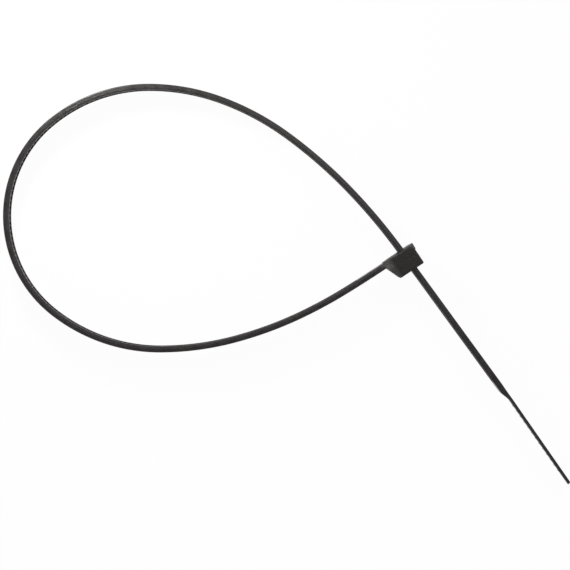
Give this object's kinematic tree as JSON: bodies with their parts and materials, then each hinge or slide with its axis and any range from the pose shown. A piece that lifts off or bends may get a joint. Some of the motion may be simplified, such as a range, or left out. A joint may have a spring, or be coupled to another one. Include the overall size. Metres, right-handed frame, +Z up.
{
  "type": "cable tie",
  "caption": "Closed self-locking cable tie: a toothed strap bent into a loop and threaded through its own head, with the free end and narrow grip tail left long.",
  "frame": {"origin": "middle of the tie's plan, on the surface it lies on", "axes": "+X along the longest extent, from the far side of the loop to the tip of the tail; +Y across the loop, towards its upper leg; +Z up, across the strap's width"},
  "size_m": [0.1296, 0.0916, 0.008],
  "materials": {
    "nylon": "satin"
  },
  "bodies": {
    "root": {"cable_tie": "nylon"}
  },
  "joints": []
}
